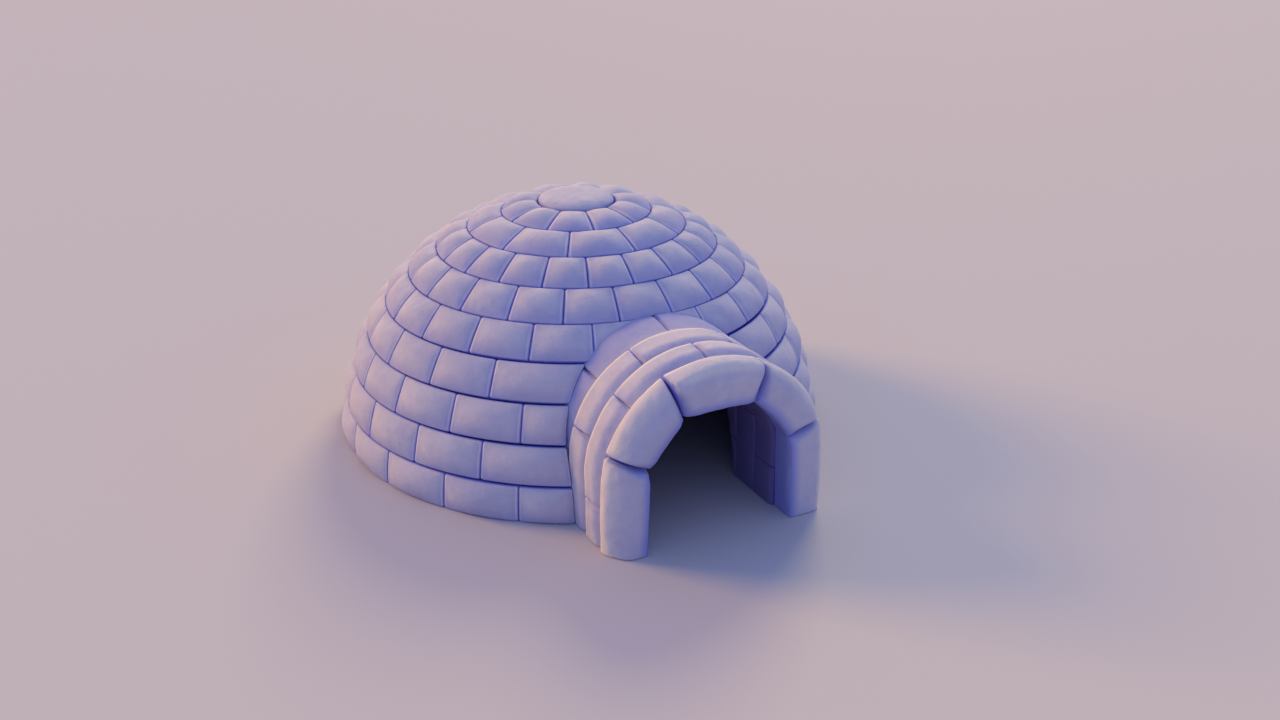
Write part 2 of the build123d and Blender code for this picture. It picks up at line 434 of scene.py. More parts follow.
    def marks(self, spot: Spot) -> dict[str, float]:
        """What the finish reads from a spot.

        Args:
            spot: the spot, in its last place on the straight block.

        Returns:
            How far it is in a groove, in painted shade, on the dim inside and on a rim with a painted
            highlight, from 0 to 1.
        """
        wear, tinting, out = self.wear, self.tinting, spot.z / self.depth
        side_on = math.hypot(spot.turn_x, spot.turn_y)
        if spot.looks_front:
            side_on = tinting.front_gain * abs(spot.turn_x)
        # painted shade on the worn edges that turn into the joints
        edge = ramp(side_on, *tinting.edge)
        # painted highlights: along the ends, on an arch's rear edge and on the front arch's outer bevel
        rim = tinting.rim * ramp(abs(spot.turn_x), *tinting.rim_start) * ramp(side_on, *tinting.rim_stop)
        if wear.crest:
            rim = ramp(self.height - spot.y, wear.crest, wear.crest * tinting.crest_full)
        if wear.front:
            # painted shade down the front face's joints, along the opening and on the jamb
            lip = ramp(out, *tinting.lip)
            shade = max(edge, spot.recess * spot.looks_front, lip * spot.looks_front, spot.looks_in)
            bevel = ramp(spot.turn_z, *tinting.bevel_out) * ramp(-spot.turn_y, *tinting.bevel_front)
            rim = max(rim, tinting.bevel * bevel * ramp(spot.from_end, *tinting.bevel_end))
        else:
            # painted shade towards the block's ends and over the low half of its outer face
            shade_by_end = tinting.end_shade * ramp(spot.from_end, *tinting.end_shade_reach)
            shade_by_bed = tinting.low_shade * ramp(spot.y / self.height, *tinting.low_shade_reach)
            # painted shade: the given share over the whole outer face, or else the shade by ends and low bed
            shade = max(edge, (self.painted_face_shade or shade_by_end + shade_by_bed) * spot.looks_out)
        return {
            "groove": ramp(side_on, *tinting.groove) * (1 - ramp(spot.exposed, *tinting.groove_exposed)),
            "shade": shade,
            "inside": 0.0 if wear.front else ramp(out, *tinting.inside),
            "rim": rim * spot.outside,
        }

    def build(self) -> bmesh.types.BMesh:
        """Wears, swells and weathers the block, marks it for its finish, and sets it in its place.

        Returns:
            The block's closed mesh.
        """
        mesh = self.rough_grid()
        layers = {name: mesh.verts.layers.float.new(name) for name in self.LAYERS}
        offset = Vector([self.seed * step for step in self.SEED_STEPS])
        tone = noise.random_vector().x
        for vertex in mesh.verts:
            spot = self.worn(vertex.co)
            self.swell_out(spot, offset)
            self.open_joints(spot)
            for name, mark in self.marks(spot).items():
                vertex[layers[name]] = mark
            vertex[layers["tone"]] = tone
            vertex.co = self.place(spot.x / self.length, spot.y / self.height, spot.z / self.depth)
        bmesh.ops.recalc_face_normals(mesh, faces=mesh.faces)
        return mesh


def join_blocks(name: str, blocks: Iterator[SnowBlock]) -> bpy.types.Object:
    """Builds blocks into one piece.

    Args:
        name: the piece's name.
        blocks: the blocks, which don't touch.

    Returns:
        The new object, at the origin, shaded smooth.
    """
    whole = bmesh.new()
    for layer in SnowBlock.LAYERS:
        whole.verts.layers.float.new(layer)
    for block in blocks:
        part = block.build()
        passing = bpy.data.meshes.new("passing")
        part.to_mesh(passing)
        part.free()
        whole.from_mesh(passing)
        bpy.data.meshes.remove(passing)
    return add_mesh(name, whole)


def set_in_frame(piece: bpy.types.Object, node: str, finish: bpy.types.Material) -> None:
    """Dresses a piece, makes it ride on the igloo, and lets it stand for its node of the frame.

    Args:
        piece: the finished piece.
        node: the node that it replaces.
        finish: its material.
    """
    piece.data.materials.append(finish)
    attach(piece, "root")
    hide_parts(node)
    log.info("%s: %d faces", piece.name, len(piece.data.polygons))


@dataclass(frozen=True)
class TunnelForm:
    """Size and place of the entrance tunnel, which the dome's blocks meet."""

    opening: float = 0.555
    wall: float = 0.265
    spring: float = 0.488
    reach: float = 0.390
    clearance: float = 0.0006

    @property
    def back(self) -> float:
        """Radius of the arches' outer face."""
        return self.opening + self.wall

    def half_width(self, height: float) -> float:
        """Half of the tunnel's outer width at a height, or 0 above its crown."""
        rise = max(height - self.spring, 0.0)
        return math.sqrt(max((self.back + self.clearance) ** 2 - rise**2, 0.0))

    def back_height(self, across: float) -> float:
        """Height of the arches' back at a distance from the tunnel's middle."""
        return self.spring + math.sqrt(max((self.back + self.clearance) ** 2 - across**2, 0.0))


@dataclass
class Dome:
    """The dome: level courses of snow blocks, each half a block round from the one below."""

    tunnel: TunnelForm
    radius: float = 2.0
    wall: float = 0.265
    centre_depth: float = 0.110
    courses: int = 9
    long_courses: int = 7
    first_bed: float = 11.2
    course_rise: float = 8.7
    blocks_around: int = 20
    block_angle: float = 17.6
    front_joint: float = -2.0
    least_end_block: float = 10.5
    side_courses: int = 4
    setback: float = 0.033  # the outer face lies this far back, and its swelling brings it out again
    joint: float = 0.0005
    bed_opening: float = 0.013  # how far the beds gape beside the tunnel
    open_beds: Band = (85.0, 40.0)  # azimuths from and at which they do
    tunnel_opening: float = 0.012  # how far the joint along the tunnel's side gapes
    tunnel_part: Band = (0.6, 1.0)  # the part of the wall in which it does
    least_rise: float = 0.35  # a block over the tunnel keeps at least this rise, in degrees
    least_depth: float = 0.03  # and this depth

    TONE_SEED = 100
    WEATHER_SEED = 31
    SETTLING_STEPS = 6

    @property
    def inner_radius(self) -> float:
        """Radius of the dome's inside."""
        return self.radius - self.wall

    @property
    def axis_y(self) -> float:
        """Place of the dome's upright axis."""
        return self.tunnel.reach / 2

    def bed(self, course: int) -> float:
        """Elevation of the bed on top of a course."""
        return self.first_bed + self.course_rise * (course - 1)

    def ground(self, radius: float) -> float:
        """Elevation at which the ground lies at a radius."""
        return math.degrees(math.asin(self.centre_depth / radius))

    def point(self, radius: float, elevation: float, azimuth: float) -> Vector:
        """A point of the dome.

        Args:
            radius: its distance from the centre of the sphere.
            elevation: its elevation.
            azimuth: its azimuth.

        Returns:
            The point, in the frame.
        """
        rise, turn = math.radians(elevation), math.radians(azimuth)
        reach = radius * math.cos(rise)
        x, y = reach * math.sin(turn), self.axis_y - reach * math.cos(turn)
        return Vector((x, y, radius * math.sin(rise) - self.centre_depth))

    def half_block_azimuth(self, index: int) -> float:
        """Azimuth of a half-block line of the round, which closes at the rear with a longer block.

        Args:
            index: the line, counted from the joint over the tunnel.

        Returns:
            Its azimuth.
        """
        if index > self.blocks_around:
            return self.half_block_azimuth(index - 2 * self.blocks_around - 1) + 360
        return self.front_joint + index * self.block_angle / 2

    def tunnel_azimuth(self, elevation: float, radius: float) -> float:
        """Where the tunnel's right side meets a level ring of the wall.

        Args:
            elevation: the ring's elevation.
            radius: its distance from the centre of the sphere.

        Returns:
            The azimuth.
        """
        height = radius * math.sin(math.radians(elevation)) - self.centre_depth
        reach = radius * math.cos(math.radians(elevation))
        return math.degrees(math.asin(self.tunnel.half_width(height) / reach))

    def tunnel_elevation(self, azimuth: float, radius: float) -> float:
        """Where the wall stands on the tunnel's back.

        Args:
            azimuth: the azimuth over the tunnel.
            radius: distance from the centre of the sphere.

        Returns:
            The elevation, or 0 clear of the tunnel.
        """
        if abs(azimuth) > 90:
            return 0.0
        elevation = self.bed(self.side_courses)
        for _ in range(self.SETTLING_STEPS):
            across = radius * math.cos(math.radians(elevation)) * math.sin(math.radians(azimuth))
            if abs(across) > self.tunnel.back:
                return 0.0
            top = self.tunnel.back_height(across) + self.centre_depth
            elevation = math.degrees(math.asin(min(top / radius, 1.0)))
        return elevation

    def block_spans(self, course: int) -> list[tuple[float, float, Cut]]:
        """The blocks of a course: one block to two half-block lines, and above the long courses to four.

        Args:
            course: the course, counted from the ground up.

        Returns:
            For each block the azimuths of its ends and how the tunnel cuts it.
        """
        half_blocks = self.blocks_around
        if course > self.long_courses:
            ends = list(range(2 * (course - self.long_courses) - 1 - half_blocks, half_blocks, 4))
        else:
            ends = list(range((course - 1) % 2 - half_blocks, half_blocks, 2))
        low, high = [self.point(self.radius, self.bed(level), 0).z for level in (course - 1, course)]
        if course == 1 or self.tunnel.half_width(low) > 0:
            reach = self.radius * math.cos(math.radians(self.bed(course)))
            turn = math.degrees(math.asin(self.tunnel.half_width(high) / reach))
            clear = turn + self.least_end_block
            ends = [index for index in ends if abs(self.half_block_azimuth(index)) > clear]
        ends.append(ends[0] + 2 * half_blocks + 1)
        azimuths = [self.half_block_azimuth(index) for index in ends]
        spans = []
        for start, end in zip(azimuths, azimuths[1:]):
            if course > self.side_courses:
                spans.append((start, end, Cut.UNDERSIDE))
            elif start < 0 < end:
                spans.append((start, 0.0, Cut.HIGH_END))
                spans.append((0.0, end, Cut.LOW_END))
            else:
                spans.append((start, end, Cut.NONE))
        return spans

    def placing(self, course: int, start: float, end: float, cut: Cut) -> Place:
        """The rule that sets a block in its course.

        Args:
            course: the course, counted from the ground up.
            start: azimuth of the block's low end.
            end: azimuth of its high end.
            cut: how the tunnel cuts it.

        Returns:
            A function from shares of the block's length, height and depth to a point.
        """
        seam = math.degrees(self.joint / 2 / self.radius)
        high = self.bed(course) - seam
        crest = high - self.least_rise
        outermost = self.radius - self.setback

        def place(along: float, up: float, out: float) -> Vector:
            """Sets a point of the block in the dome.

            Args:
                along: share of the block's length.
                up: share of its height.
                out: share of its depth, outwards.

            Returns:
                The point, in the frame.
            """
            azimuth = between(start + seam, end - seam, along)
            radius = between(self.inner_radius, outermost, out)
            low = self.bed(course - 1) + seam if course > 1 else self.ground(radius)
            if cut is Cut.UNDERSIDE:
                top = self.tunnel_elevation(azimuth, self.inner_radius)
                if top > crest:
                    least = self.inner_radius * math.sin(math.radians(top)) / math.sin(math.radians(crest))
                    radius = between(min(least, outermost - self.least_depth), outermost, out)
                low = min(max(low, self.tunnel_elevation(azimuth, radius)), crest)
            elevation = between(low, high, up)
            if cut in (Cut.HIGH_END, Cut.LOW_END):
                reach = radius * math.cos(math.radians(elevation))
                opened = self.tunnel_opening * ramp(out, *self.tunnel_part) / reach
                side = self.tunnel_azimuth(elevation, radius) + math.degrees(opened)
                ends = (start + seam, -side) if cut is Cut.HIGH_END else (side, end - seam)
                azimuth = between(*ends, along)
            return self.point(radius, elevation, azimuth)

        return place

    def bed_gap(self, course: int, start: float, end: float) -> Callable[[float], float]:
        """How far the bed under a block gapes at the outer face: beside the tunnel the beds have opened.

        Args:
            course: the course, counted from the ground up.
            start: azimuth of the block's low end.
            end: azimuth of its high end.

        Returns:
            A function from a share of the block's length to the gap.
        """

        def gap(along: float) -> float:
            """Measures the gap under the block.

            Args:
                along: share of the block's length.

            Returns:
                The gap at the outer face.
            """
            azimuth = abs(between(start, end, along))
            opened = ramp(azimuth, *self.open_beds) if 1 < course <= self.side_courses + 1 else 0.0
            return self.joint + self.bed_opening * opened

        return gap

    def course_blocks(self, course: int) -> Iterator[SnowBlock]:
        """The worn blocks of a course.

        Args:
            course: the course, counted from the ground up.

        Returns:
            The blocks, one by one, from the rear's low azimuths round the front.
        """
        low_bed = self.bed(course - 1) if course > 1 else self.ground(self.radius)
        middle = (low_bed + self.bed(course)) / 2
        for number, (start, end, cut) in enumerate(self.block_spans(course)):
            span = end - start
            if cut in (Cut.HIGH_END, Cut.LOW_END):
                span -= self.tunnel_azimuth(middle, self.radius)
            noise.seed_set(course * self.TONE_SEED + number + 1)
            yield SnowBlock(
                length=self.radius * math.cos(math.radians(middle)) * math.radians(span),
                height=self.radius * math.radians(self.bed(course) - low_bed),
                depth=self.wall,
                place=self.placing(course, start, end, cut),
                seed=course * self.WEATHER_SEED + number,
                bed_gap=self.bed_gap(course, start, end),
            )

    def build(self, finish: bpy.types.Material) -> None:
        """Builds every course.

        Args:
            finish: the courses' material.
        """
        for course in range(1, self.courses + 1):
            piece = join_blocks(f"snow_course_{course}", self.course_blocks(course))
            set_in_frame(piece, f"dome_course_{course}", finish)


@dataclass
class KingBlock:
    """The round block that closes the dome, a thick pillow with a wide worn edge."""

    dome: Dome
    rise: float = 0.010
    flat: float = 0.090  # radius of the level middle of its top
    fall: float = 0.072  # how far its worn edge falls
    pillow: float = 0.8  # the lower, the fuller is the worn edge
    rim_gap: float = 0.02  # in degrees
    side_gap: float = 0.006
    turns: int = 14
    rings: int = 4
    spokes: int = 96
    weather: Weather = Weather(drift_scale=4.1)
    drift: float = 0.010
    chips: float = 0.002
    settled: float = 0.7
    pinch: float = 0.018  # how far its sides are out of round
    pinch_scale: float = 5.0
    upper: Band = (0.6, 0.95)  # on the way through the wall, where its weathering begins
    groove: float = 0.97  # the painted crease shade begins at this share of its reach
    groove_out: Band = (0.85, 0.7)
    shade: float = 0.88  # and the worn edge's shade at this share
    shade_out: Band = (0.98, 0.8)
    tone: float = 0.1

    @property
    def slope(self) -> float:
        """Reach of its rim for each metre of height over the sphere's centre."""
        return math.tan(math.radians(90 - self.dome.bed(self.dome.courses) - self.rim_gap))

    @property
    def top(self) -> float:
        """Height of its top over the sphere's centre."""
        return self.dome.radius + self.rise

    @property
    def side_reach(self) -> float:
        """Radius of its side, where the worn edge ends."""
        return (self.top - self.fall) * self.slope - self.side_gap

    def outline(self) -> list[Pair]:
        """The half outline that is spun into the block.

        Returns:
            Distances from the axis and heights over the sphere's centre, from the inside to the top.
        """
        inner, shoulder = self.dome.inner_radius, self.top - self.fall
        outline = [(0.0, inner), (inner * self.slope, inner)]
        for step in range(self.turns + 1):
            turn = math.pi / 2 * step / self.turns
            reach = self.flat + (self.side_reach - self.flat) * math.cos(turn) ** self.pillow
            outline.append((reach, shoulder + self.fall * math.sin(turn)))
        for step in range(1, self.rings + 1):
            outline.append((self.flat * (1 - step / self.rings), self.top))
        return outline

    def spun(self, axis: Vector) -> bmesh.types.BMesh:
        """Spins the outline round the dome's axis.

        Args:
            axis: the sphere's centre, on that axis.

        Returns:
            The closed mesh.
        """
        mesh = bmesh.new()
        corners = [mesh.verts.new(axis + Vector((reach, 0, height))) for reach, height in self.outline()]
        sides = [mesh.edges.new(pair) for pair in zip(corners, corners[1:])]
        bmesh.ops.spin(
            mesh,
            geom=corners + sides,
            cent=axis,
            axis=(0, 0, 1),
            angle=2 * math.pi,
            steps=self.spokes,
            use_merge=True,
        )
        bmesh.ops.remove_doubles(mesh, verts=mesh.verts, dist=TINY)
        bmesh.ops.recalc_face_normals(mesh, faces=mesh.faces)
        return mesh

    def build(self, finish: bpy.types.Material) -> None:
        """Builds the block, weathered and marked, dressed in a finish.

        Args:
            finish: its material.
        """
        axis = Vector((0, self.dome.axis_y, -self.dome.centre_depth))
        mesh = self.spun(axis)
        layers = {name: mesh.verts.layers.float.new(name) for name in SnowBlock.LAYERS}
        side = self.side_reach
        for vertex in mesh.verts:
            from_axis = vertex.co - axis
            reach = math.hypot(from_axis.x, from_axis.y)
            out = (from_axis.length - self.dome.inner_radius) / self.dome.wall
            upper = ramp(out, *self.upper)
            moved = self.weather.drift(vertex.co) * self.drift + self.weather.chips(vertex.co) * self.chips
            vertex.co.z += moved * upper * self.settled
            lumps = Vector((from_axis.x, from_axis.y, self.pinch_scale)) * self.pinch_scale
            vertex.co.x *= 1 - self.pinch * upper * (1 + noise.noise(lumps))
            # painted shade: on the dim inside, in the crease round the block and on its worn edge
            vertex[layers["inside"]] = ramp(out, *Tinting.inside)
            vertex[layers["groove"]] = ramp(reach, side * self.groove, side) * ramp(out, *self.groove_out)
            vertex[layers["shade"]] = ramp(reach, side * self.shade, side) * ramp(out, *self.shade_out)
            vertex[layers["tone"]] = self.tone
        set_in_frame(add_mesh("snow_king_block", mesh), "king_block", finish)


@dataclass(frozen=True)
class Straight:
    """How far a block keeps straight instead of following its arch, from 0 to 1, at its two faces."""

    opening: float = 0.0
    back: float = 0.0


@dataclass(frozen=True)
class Share:
    """The part of an arch that one block fills, measured along the arch's middle line from the ground.

    A slant is how far a joint's line moves along at the opening.
    """

    name: str
    low: float
    high: float
    sides: tuple[Side, ...] = (Side.LEFT, Side.RIGHT)
    low_slant: float = 0.0
    high_slant: float = 0.0


@dataclass(frozen=True)
class Arch:
    """One arch of the tunnel: its blocks, and how far its faces stand from the dome's axis.

    An arch without a rear ends flush with the inside of the dome.
    """

    name: str
    front: float
    rear: float | None
    shares: list[Share]
    wear: Wear
    swell: Swell


@dataclass
class Tunnel:
    """The entrance tunnel: four arches of snow blocks, one behind the other, from the mouth to the room."""

    form: TunnelForm
    dome: Dome
    front_depth: float = 0.210
    second_depth: float = 0.240
    third_depth: float = 0.270
    shoulder_angle: float = 17.6
    crown_angle: float = 64.5
    haunch_angle: float = 43.0
    post_joint_height: float = 0.313
    joint: float = 0.0005
    proud: float = 0.010  # the arches' backs stand this far out of the form that the dome meets
    right_shift: float = 0.030  # the right side of the front arch stands this much further right
    shift_band: Band = (85.0, 25.0)  # angles from and at which it does
    post_slant: float = -0.018
    crown_slant: float = -0.045
    post_straight: Straight = Straight(1.0, 0.5)
    front_straight: Straight = Straight(0.65, 0.25)
    inner_reach: float = 0.8  # the inner arch is at most this near to the dome's axis, in inner radii
    least_ending: float = 0.04  # square of the least distance of its end from that axis
    # painted shadow of the dome over the inner arch's outer face
    inner_arch_shadow: float = 0.6
    grid: float = 0.0145

    TONE_SEEDS = (1000, 7)
    WEATHER_SEEDS = (100, 5)
    FACE_WEAR = Wear(
        ends=0.024,
        high=0.012,
        outer=0.028,
        outer_high=0.012,
        power=2.0,
        crest=0.045,
        front=0.080,
        front_outer=0.096,
        front_inner=0.010,
        front_ends_outer=0.026,
        front_ends_inner=0.024,
        recess=0.035,
    )
    LEFT_FACE_WEAR = replace(FACE_WEAR, front=0.190, front_outer=0.155, high=0.008, power=1.5)
    RING_WEAR = Wear(
        ends=0.016,
        low=0.090,
        high=0.012,
        outer=0.058,
        outer_high=0.012,
        reach=0.090,
        crest=0.040,
    )
    RING_SWELL = Swell(outer=0.012, wedge=0.0, drift=0.005)
    FACE_SWELL = replace(RING_SWELL, outer=0.026, front=0.010)
    FLAT_SWELL = replace(RING_SWELL, outer=0.003)

    @property
    def middle(self) -> float:
        """Radius of the arches' middle line."""
        return self.form.opening + self.form.wall / 2

    def station(self, angle: float) -> float:
        """Length of the middle line from the ground to an angle above the spring line."""
        return self.form.spring + math.radians(angle) * self.middle

    def crowned_shares(self) -> list[Share]:
        """Blocks of the first and third arch: posts, shoulders and one crown block.

        Returns:
            Their shares of the arch.
        """
        shoulder, crown = self.station(self.shoulder_angle), self.station(self.crown_angle)
        far_crown, one = self.station(180 - self.crown_angle), (Side.RIGHT,)
        post_slant, crown_slant = self.post_slant, self.crown_slant
        return [
            Share("post", 0.0, shoulder, high_slant=post_slant),
            Share("shoulder", shoulder, crown, low_slant=post_slant, high_slant=crown_slant),
            Share("crown", crown, far_crown, one, low_slant=crown_slant, high_slant=-crown_slant),
        ]

    def split_shares(self) -> list[Share]:
        """Blocks of the second and inner arch: feet, haunches and two roof blocks.

        Returns:
            Their shares of the arch.
        """
        haunch = self.station(self.haunch_angle)
        return [
            Share("foot", 0.0, self.post_joint_height),
            Share("haunch", self.post_joint_height, haunch),
            Share("roof", haunch, self.station(90)),
        ]

    def on_line(self, station: float, radius: float) -> Pair:
        """A point of the right half of an arch.

        Args:
            station: how far along the middle line it lies.
            radius: its distance from the arch's centre, or from the tunnel's middle below the spring line.

        Returns:
            Its distance across and its height.
        """
        if station < self.form.spring:
            return radius, station
        turn = (station - self.form.spring) / self.middle
        return radius * math.cos(turn), self.form.spring + radius * math.sin(turn)

    def placing(self, arch: Arch, share: Share, side: Side, straight: Straight) -> Place:
        """The rule that sets a block in its arch.

        Args:
            arch: the arch.
            share: the part of the arch that the block fills.
            side: the side of the tunnel.
            straight: how far the block keeps straight instead of following the arch.

        Returns:
            A function from shares of the block's length, depth and thickness to a point.
        """
        low, high = share.low + self.joint / 2 * (share.low > 0), share.high - self.joint / 2
        outermost = self.form.back + self.proud
        shift = self.right_shift if side is Side.RIGHT and straight.opening else 0.0
        unshifted, shifted = [self.station(angle) for angle in self.shift_band]

        def place(along: float, back: float, out: float) -> Vector:
            """Sets a point of the block in the arch.

            Args:
                along: share of the block's length.
                back: share of its depth, from its front face.
                out: share of its thickness, outwards.

            Returns:
                The point, in the frame.
            """
            start, end = low + share.low_slant * (1 - out), high + share.high_slant * (1 - out)
            station = between(start, end, along)
            radius = between(self.form.opening, outermost, out)
            across, height = self.on_line(station, radius)
            start_x, start_z = self.on_line(start, radius)
            end_x, end_z = self.on_line(end, radius)
            kept = between(straight.opening, straight.back, min(out, 1.0))
            across = between(across, between(start_x, end_x, along), kept)
            across = side.value * (across + shift * ramp(station, unshifted, shifted))
            height = between(height, between(start_z, end_z, along), kept)
            rear = arch.rear
            if rear is None:
                level = self.dome.inner_radius**2 - across**2 - (height + self.dome.centre_depth) ** 2
                rear = math.sqrt(max(level, self.least_ending))
            return Vector((across, self.dome.axis_y - between(arch.front, rear, back), height))

        return place

    @staticmethod
    def seed(arch: Arch, number: int, side: Side, steps: tuple[int, int]) -> int:
        """A seed for one block.

        Args:
            arch: its arch.
            number: its number in the arch.
            side: its side of the tunnel.
            steps: how far the seed goes for a metre of the arch's place and for each number.

        Returns:
            The seed.
        """
        return int(arch.front * steps[0]) + number * steps[1] + side.value

    def blocks(self, arch: Arch) -> Iterator[tuple[str, SnowBlock]]:
        """The blocks of one arch.

        Args:
            arch: the arch.

        Returns:
            Each block after its node's name.
        """
        rear = arch.rear if arch.rear is not None else self.dome.inner_radius * self.inner_reach
        for number, share in enumerate(arch.shares):
            for side in share.sides:
                node = f"{arch.name}_{share.name}"
                if len(share.sides) > 1:
                    node = f"{arch.name}_{side.name.lower()}_{share.name}"
                noise.seed_set(self.seed(arch, number, side, self.TONE_SEEDS))
                straight, wear = Straight(), arch.wear
                if wear.front:
                    straight = self.front_straight if share.low > 0 else self.post_straight
                    wear = self.LEFT_FACE_WEAR if side is Side.LEFT else wear
                yield node, SnowBlock(
                    length=share.high - share.low,
                    height=arch.front - rear,
                    depth=self.form.wall,
                    place=self.placing(arch, share, side, straight),
                    seed=self.seed(arch, number, side, self.WEATHER_SEEDS),
                    wear=wear,
                    swell=arch.swell,
                    grid=self.grid,
                    painted_face_shade=self.inner_arch_shadow if arch.rear is None else 0.0,
                    on_ground=share.low == 0,
                )

    def build(self, finish: bpy.types.Material) -> None:
        """Builds the four arches, dressed in a finish.

        Args:
            finish: their material.
        """
        gap = self.joint / 2
        first = self.dome.radius + self.form.reach
        second = first - self.front_depth
        third = second - self.second_depth
        inner = third - self.third_depth
        crowned, split = self.crowned_shares(), self.split_shares()
        arches = (
            Arch("front_arch", first, second + gap, crowned, self.FACE_WEAR, self.FACE_SWELL),
            Arch("second_arch", second - gap, third + gap, split, self.RING_WEAR, self.RING_SWELL),
            Arch("third_arch", third - gap, inner + gap, crowned, self.RING_WEAR, self.FLAT_SWELL),
            Arch("inner_arch", inner - gap, None, split, self.RING_WEAR, self.FLAT_SWELL),
        )
        for arch in arches:
            for node, block in self.blocks(arch):
                set_in_frame(join_blocks(f"snow_{node}", iter([block])), node, finish)


class Wire:
    """A value in a finish's nodes: a socket, with the arithmetic that the finishes use."""

    def __init__(self, board: "Board", socket: bpy.types.NodeSocket) -> None:
        """Wraps a node's output socket."""
        self.board = board
        self.socket = socket

    def math(self, operation: str, *values: "Wire | float") -> "Wire":
        """Puts this value and others through a Math node."""
        return self.board.node("ShaderNodeMath", {"operation": operation}, [self, *values])

    def __add__(self, other: "Wire | float") -> "Wire":
        """This value and another, added."""
        return self.math("ADD", other)

    def __sub__(self, other: "Wire | float") -> "Wire":
        """Another value taken from this one."""
        return self.math("SUBTRACT", other)

    def __rsub__(self, other: float) -> "Wire":
        """This value taken from a number."""
        return self.board.node("ShaderNodeMath", {"operation": "SUBTRACT"}, [other, self])

    def __mul__(self, other: "Wire | float") -> "Wire":
        """This value times another."""
        return self.math("MULTIPLY", other)

    __radd__ = __add__
    __rmul__ = __mul__

    def clipped(self, low: float, high: float) -> "Wire":
        """This value spread so that low becomes 0 and high becomes 1, and clipped there."""
        values = {"Value": self, "From Min": low, "From Max": high}
        return self.board.node("ShaderNodeMapRange", {"interpolation_type": "SMOOTHSTEP"}, values)


Value = Wire | float | tuple[float, ...]
Inputs = dict[str | int, Value] | list[Value]


@dataclass(frozen=True)
class Cloud:
    """Soft noise: its scale in waves to the metre, its detail, and its stretch along the axes."""

    scale: float
    detail: float = 2.0
    stretch: Triple = (1, 1, 1)
    roughness: float = 0.55


class Board:
    """The node board of one finish."""

    def __init__(self, name: str) -> None:
        """Starts a material with its shader and output.

        Args:
            name: the material's name.
        """
        self.material = bpy.data.materials.new(name)
        self.material.use_nodes = True
        self.tree = self.material.node_tree
        self.shader = self.tree.nodes["Principled BSDF"]

    def node(self, kind: str, settings: dict[str, str], values: Inputs, output: int | str = 0) -> Wire:
        """Adds a node.

        Args:
            kind: the node's type.
            settings: its settings, which are set first.
            values: numbers, colours or wires for its sockets, by name or number or in order.
            output: the output that is wanted.

        Returns:
            That output, as a wire.
        """
        made = self.tree.nodes.new(kind)
        for setting, value in settings.items():
            setattr(made, setting, value)
        pairs = values.items() if isinstance(values, dict) else enumerate(values)
        for key, value in pairs:
            if isinstance(value, Wire):
                self.tree.links.new(value.socket, made.inputs[key])
            else:
                made.inputs[key].default_value = value
        return Wire(self, made.outputs[output])

    def place(self) -> Wire:
        """The place on the piece, in metres."""
        return self.node("ShaderNodeTexCoord", {}, {}, "Object")

    def mark(self, name: str) -> Wire:
        """A mark that the block's maker left on its mesh."""
        return self.node("ShaderNodeAttribute", {"attribute_name": name}, {}, "Fac")

    def noise(self, cloud: Cloud) -> Wire:
        """Soft noise over the piece.

        Args:
            cloud: what it is like.

        Returns:
            Its value, about 0.5 on average.
        """
        where = self.node("ShaderNodeMapping", {}, {"Vector": self.place(), "Scale": cloud.stretch})
        values = {"Scale": cloud.scale, "Detail": cloud.detail, "Roughness": cloud.roughness}
        return self.node("ShaderNodeTexNoise", {}, {"Vector": where, **values}, "Fac")

    def mix(self, share: Wire | float, first: Colour | Wire, second: Colour | Wire) -> Wire:
        """Two colours mixed, with a share of the second; a Mix node has its colours at inputs 6 and 7."""
        return self.node("ShaderNodeMix", {"data_type": "RGBA"}, {0: share, 6: first, 7: second}, 2)

    def feed(self, socket: str, value: Value) -> None:
        """Links a wire to a socket of the shader, or sets a constant on it.

        Args:
            socket: the socket's name.
            value: the wire or the constant.
        """
        if isinstance(value, Wire):
            self.tree.links.new(value.socket, self.shader.inputs[socket])
        else:
            self.shader.inputs[socket].default_value = value


def linear(level: int) -> float:
    """One channel of a screen's colour, from 0 to 255, as the linear number that the shaders take."""
    share = level / 255
    return share / 12.92 if share <= 0.04045 else ((share + 0.055) / 1.055) ** 2.4


def colour(red: int, green: int, painted_face_shade: int) -> Colour:
    """A screen's colour, from 0 to 255, as the linear colour that the shaders take."""
    return (linear(red), linear(green), linear(painted_face_shade), 1.0)


